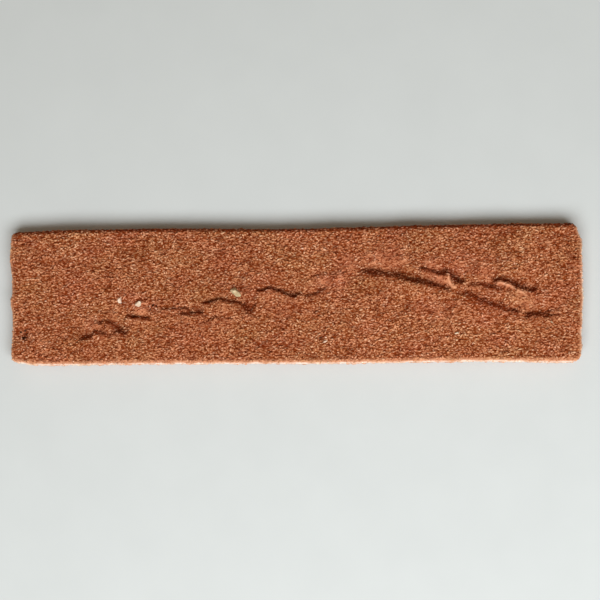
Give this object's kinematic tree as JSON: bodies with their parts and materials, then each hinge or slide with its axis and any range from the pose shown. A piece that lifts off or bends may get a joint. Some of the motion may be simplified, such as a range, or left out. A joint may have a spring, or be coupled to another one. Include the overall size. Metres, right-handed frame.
{
  "type": "brick slip",
  "caption": "Thin hand-moulded clay brick slip with a sanded, folded face and a flat sawn back, for facing a wall or floor.",
  "frame": {"origin": "centre of the sawn back, on the surface that the slip lies on", "axes": "+X along the slip, +Y across its course height, +Z out of the moulded face"},
  "size_m": [0.2112, 0.0504, 0.0089],
  "materials": {
    "fired_clay": "Orange-red fired clay under coarse moulding sand, fully matt, with fine pale glints and dark pits",
    "pale_grit": "Cream-white chips of stone bedded in the clay, fully matt",
    "iron_spot": "Burnt dark brown iron spot with a few grey flecks, slightly glossy"
  },
  "bodies": {
    "root": {"brick_slip": "fired_clay"}
  },
  "joints": []
}
